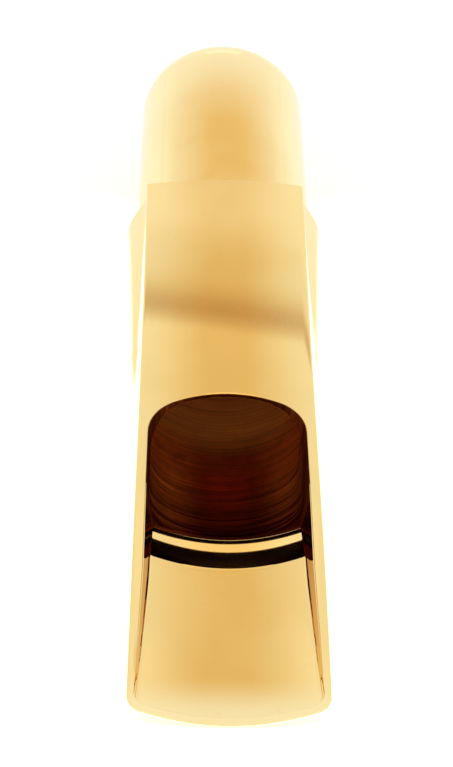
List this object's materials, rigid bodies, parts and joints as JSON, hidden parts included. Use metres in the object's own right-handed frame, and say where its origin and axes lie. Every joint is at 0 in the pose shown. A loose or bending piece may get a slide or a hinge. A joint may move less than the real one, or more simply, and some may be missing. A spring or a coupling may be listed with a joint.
{
  "type": "saxophone mouthpiece",
  "caption": "Gold-plated metal tenor saxophone mouthpiece with a flat reed table, a stepped baffle, a large chamber and a bore for the neck cork.",
  "frame": {"origin": "under the middle of the length, on the lowest line of the body, as the mouthpiece lies on its back", "axes": "+Z out of the reed table, +Y along the bore from the tip towards the neck, +X to the right seen from the tip"},
  "size_m": [0.023, 0.095, 0.0213],
  "materials": {
    "gold_plate_body": "polished gold plate on brass, finely turned and unpolished inside",
    "gold_plate_shank": "polished gold plate on brass",
    "hard_rubber": "satin black hard rubber"
  },
  "bodies": {
    "root": {"body": "gold_plate_body", "shank": "gold_plate_shank", "bite_plate": "hard_rubber"}
  },
  "joints": []
}
